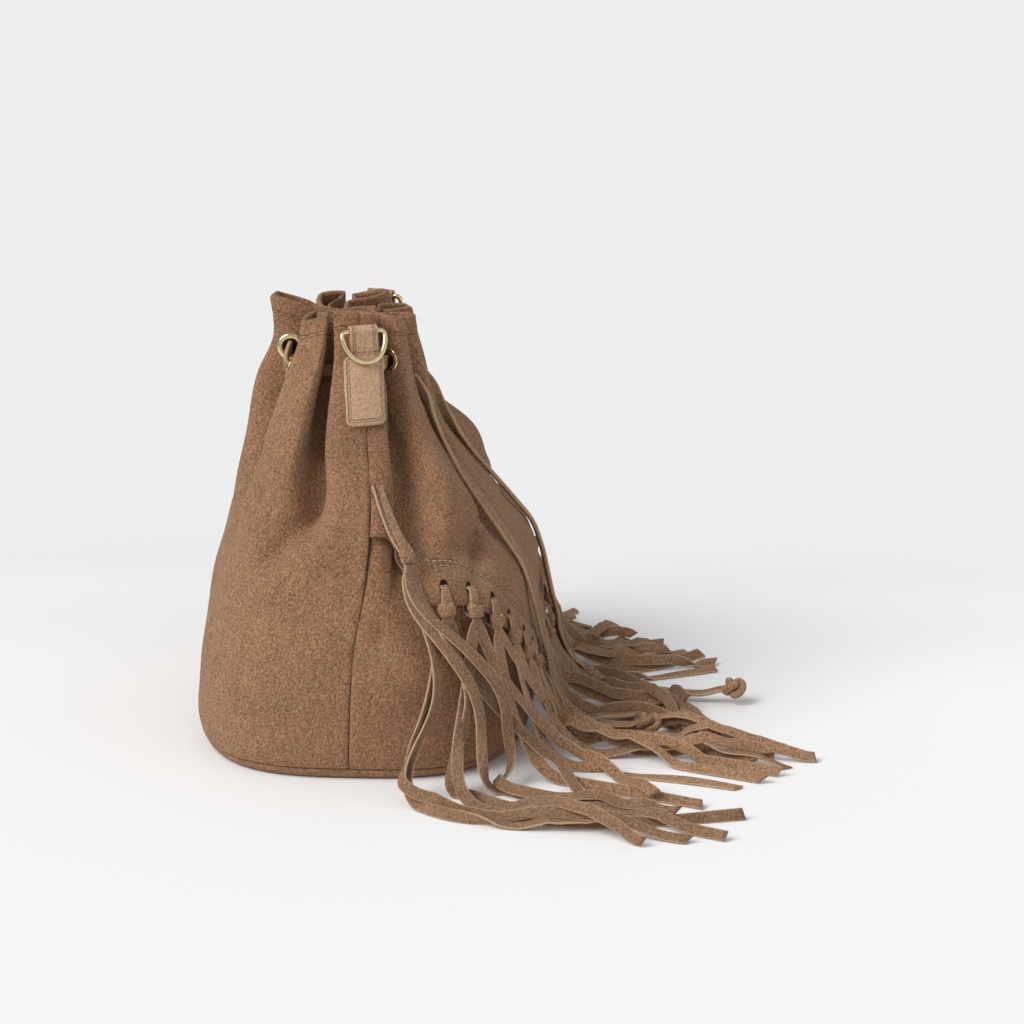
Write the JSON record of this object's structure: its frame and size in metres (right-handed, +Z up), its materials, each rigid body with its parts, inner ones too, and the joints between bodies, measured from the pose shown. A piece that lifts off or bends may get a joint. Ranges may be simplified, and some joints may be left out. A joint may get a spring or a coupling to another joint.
{
  "type": "fringed suede bag",
  "caption": "Gathered suede bucket bag with a drawcord mouth, brass eyelets, side strap rings on tabs and a laced fringe along its front flap.",
  "frame": {"origin": "middle of the underside of the base, on the surface that the bag stands on", "axes": "+Z up, -Y to the front with the fringe, X across the two side rings"},
  "size_m": [0.4135, 0.3523, 0.2311],
  "materials": {
    "suede": "brushed suede, matt",
    "tab_suede": "lighter brushed suede, matt",
    "lace_suede": "cut suede lace, matt, pale raw edges",
    "gold": "polished pale gold plate"
  },
  "bodies": {
    "bag": {"front_upper_panel": "suede", "front_lower_panel": "suede", "back_panel": "suede", "base_panel": "suede", "ring_tab_left": "tab_suede", "eyelet_left_1": "gold", "eyelet_left_2": "gold", "eyelet_left_3": "gold", "eyelet_left_4": "gold", "eyelet_left_5": "gold", "ring_tab_right": "tab_suede", "eyelet_right_1": "gold", "eyelet_right_2": "gold", "eyelet_right_3": "gold", "eyelet_right_4": "gold", "eyelet_right_5": "gold", "fringe_lace_left_9": "lace_suede", "fringe_lace_left_8": "lace_suede", "fringe_lace_left_7": "lace_suede", "fringe_lace_left_6": "lace_suede", "fringe_lace_left_5": "lace_suede", "fringe_lace_left_4": "lace_suede", "fringe_lace_left_3": "lace_suede", "fringe_lace_left_2": "lace_suede", "fringe_lace_left_1": "lace_suede", "fringe_lace_middle": "lace_suede", "fringe_lace_right_1": "lace_suede", "fringe_lace_right_2": "lace_suede", "fringe_lace_right_3": "lace_suede", "fringe_lace_right_4": "lace_suede", "fringe_lace_right_5": "lace_suede", "fringe_lace_right_6": "lace_suede", "fringe_lace_right_7": "lace_suede", "fringe_lace_right_8": "lace_suede", "fringe_lace_right_9": "lace_suede", "drawcord_mouth_run": "lace_suede", "drawcord_end_left": "lace_suede", "drawcord_knot_left": "lace_suede", "drawcord_end_right": "lace_suede", "drawcord_knot_right": "lace_suede"},
    "ring_left": {"d_ring_left": "gold"},
    "ring_right": {"d_ring_right": "gold"}
  },
  "joints": [
    {"name": "ring_left_swing", "type": "hinge", "parent": "bag", "child": "ring_left", "pos_m": [-0.0455, 0.0005, 0.2188], "axis": [-0.3459, 0.9383, 0], "range_deg": [0, 140]},
    {"name": "ring_right_swing", "type": "hinge", "parent": "bag", "child": "ring_right", "pos_m": [0.0455, 0.0005, 0.2188], "axis": [-0.3459, -0.9383, 0], "range_deg": [0, 140]}
  ]
}
